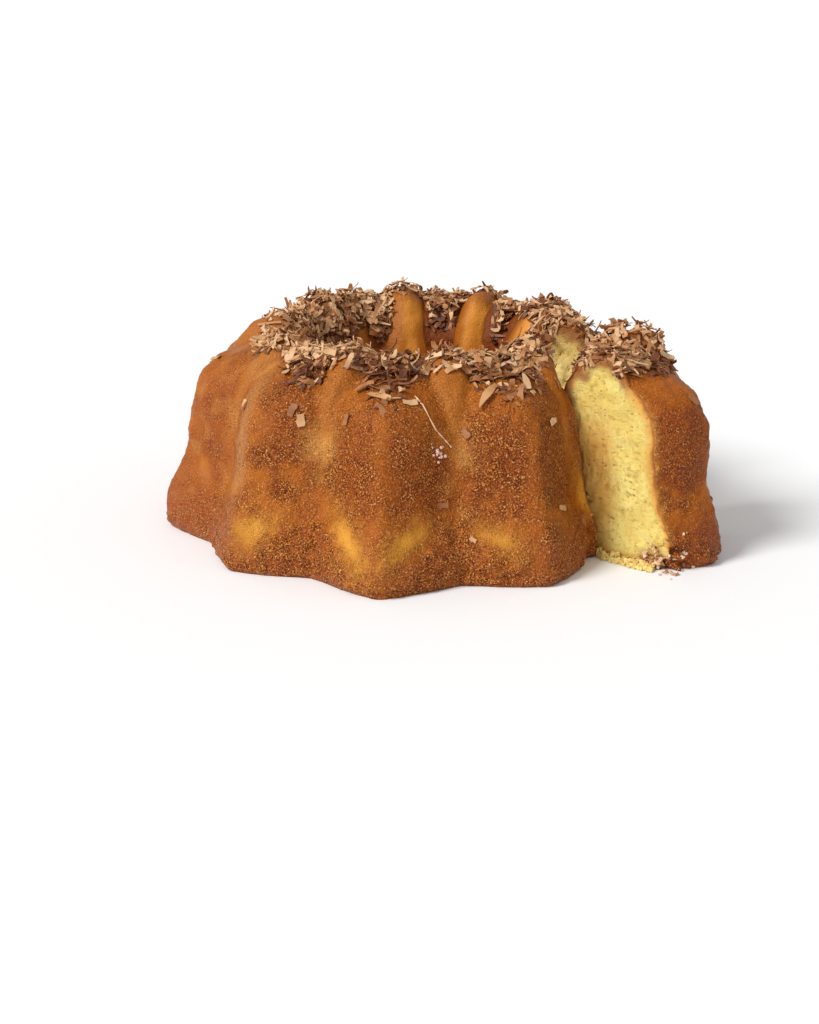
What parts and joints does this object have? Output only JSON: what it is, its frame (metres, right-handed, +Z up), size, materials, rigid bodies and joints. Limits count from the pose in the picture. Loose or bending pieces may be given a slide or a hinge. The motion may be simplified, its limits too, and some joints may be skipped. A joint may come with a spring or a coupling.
{
  "type": "bundt cake",
  "caption": "Fluted ring cake with a tapered centre hole, chocolate shavings heaped on its crown, and one wedge cut and drawn outwards to show the yellow crumb.",
  "frame": {"origin": "middle of the whole object's box, on the surface that the cake stands on", "axes": "+Z up along the ring's axis, +X to the picture's right, towards the drawn slice, +Y away from the camera"},
  "size_m": [0.2295, 0.2195, 0.0869],
  "materials": {
    "crust": "satin",
    "crumb": "matte",
    "shavings": "matte",
    "glaze": "gloss"
  },
  "bodies": {
    "root": {"cake_ring": "crust", "cake_slice": "crust"}
  },
  "joints": []
}
